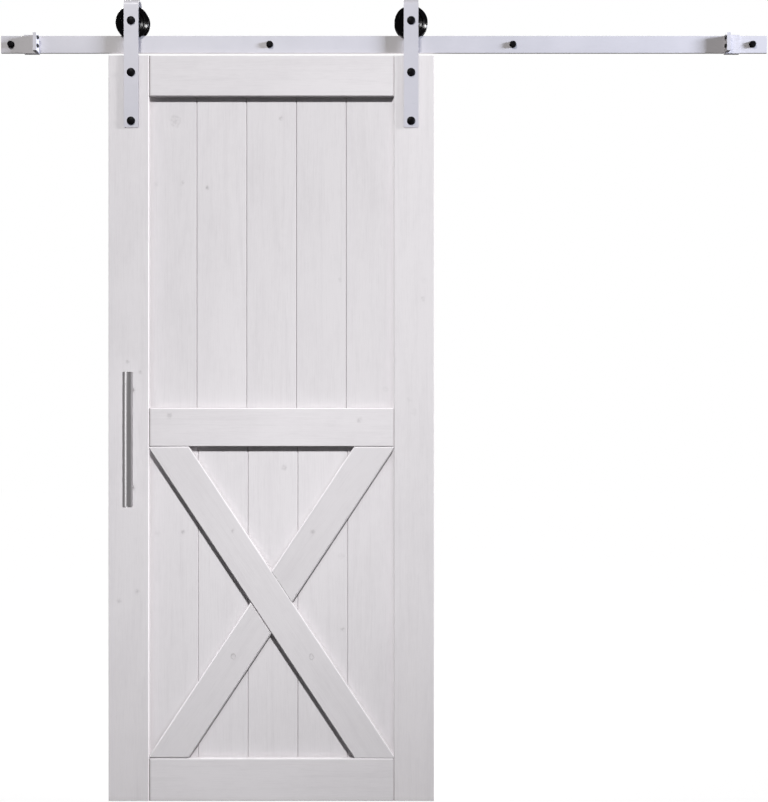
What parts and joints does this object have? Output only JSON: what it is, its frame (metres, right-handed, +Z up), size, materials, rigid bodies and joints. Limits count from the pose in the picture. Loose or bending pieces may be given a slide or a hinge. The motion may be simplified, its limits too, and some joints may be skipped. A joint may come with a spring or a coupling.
{
  "type": "sliding barn door",
  "caption": "White painted plank door with a cross-braced lower panel and a bar handle, hung by bent straps and grooved wheels from a flat wall track.",
  "frame": {"origin": "on the wall plane, midway between the two outer wall fixings, at the middle of the track bar's height", "axes": "+Z up, +Y into the wall so that the door's front faces -Y, +X along the track to the viewer's right"},
  "size_m": [2.202, 0.1345, 2.2982],
  "materials": {
    "painted_pine": "white paint on knotty pine, satin, grain and knots faintly showing",
    "dowel_wood": "bare beech",
    "white_coat": "fine white powder coat",
    "black_coat": "black oxide and paint, satin",
    "bumper_rubber": "matt black rubber",
    "handle_steel": "brushed along the tube",
    "plain_steel": "zinc plated",
    "bearing_steel": "ground and polished",
    "wheel_black": "gloss black nylon"
  },
  "bodies": {
    "track": {"track_bar": "white_coat", "left_stop": "white_coat", "right_stop": "white_coat", "left_stop_bumpers": "bumper_rubber", "right_stop_bumpers": "bumper_rubber", "stop_grub_screws": "black_coat", "spacer_1": "white_coat", "spacer_2": "white_coat", "spacer_3": "white_coat", "spacer_4": "white_coat", "lag_bolts": "black_coat", "lag_washers": "black_coat"},
    "door": {"left_stile": "painted_pine", "right_stile": "painted_pine", "top_rail": "painted_pine", "middle_rail": "painted_pine", "bottom_rail": "painted_pine", "upper_plank_1": "painted_pine", "upper_plank_2": "painted_pine", "upper_plank_3": "painted_pine", "upper_plank_4": "painted_pine", "upper_plank_5": "painted_pine", "lower_plank_1": "painted_pine", "lower_plank_2": "painted_pine", "lower_plank_3": "painted_pine", "lower_plank_4": "painted_pine", "lower_plank_5": "painted_pine", "long_brace": "painted_pine", "upper_half_brace": "painted_pine", "lower_half_brace": "painted_pine", "frame_dowels": "dowel_wood", "left_strap": "white_coat", "right_strap": "white_coat", "left_axle_bolt": "black_coat", "right_axle_bolt": "black_coat", "axle_nuts": "black_coat", "strap_bolts": "black_coat", "handle_bar": "handle_steel", "handle_top_post": "handle_steel", "handle_bottom_post": "handle_steel", "handle_end_caps": "handle_steel", "brace_screws": "plain_steel", "handle_screws": "plain_steel", "handle_washers": "plain_steel", "left_axle_bushes": "plain_steel", "right_axle_bushes": "plain_steel", "strap_barrel_nuts": "plain_steel", "left_bearing_inner_ring": "bearing_steel", "right_bearing_inner_ring": "bearing_steel"},
    "left_wheel": {"left_wheel": "wheel_black", "left_bearing_outer_ring": "bearing_steel", "left_bearing_balls": "bearing_steel"},
    "right_wheel": {"right_wheel": "wheel_black", "right_bearing_outer_ring": "bearing_steel", "right_bearing_balls": "bearing_steel"}
  },
  "joints": [
    {"name": "door_slide", "type": "slide", "parent": "track", "child": "door", "axis": [1, 0, 0], "range_m": [-0.243, 0.875]},
    {"name": "left_wheel_spin", "type": "hinge", "parent": "door", "child": "left_wheel", "pos_m": [-0.716, -0.0355, 0.0617], "axis": [0, 1, 0], "continuous": true},
    {"name": "right_wheel_spin", "type": "hinge", "parent": "door", "child": "right_wheel", "pos_m": [0.084, -0.0355, 0.0617], "axis": [0, 1, 0], "continuous": true}
  ],
  "couplings": [
    {"joint": "left_wheel_spin", "follows": "door_slide", "rad_per_m": 27.027},
    {"joint": "right_wheel_spin", "follows": "door_slide", "rad_per_m": 27.027}
  ]
}
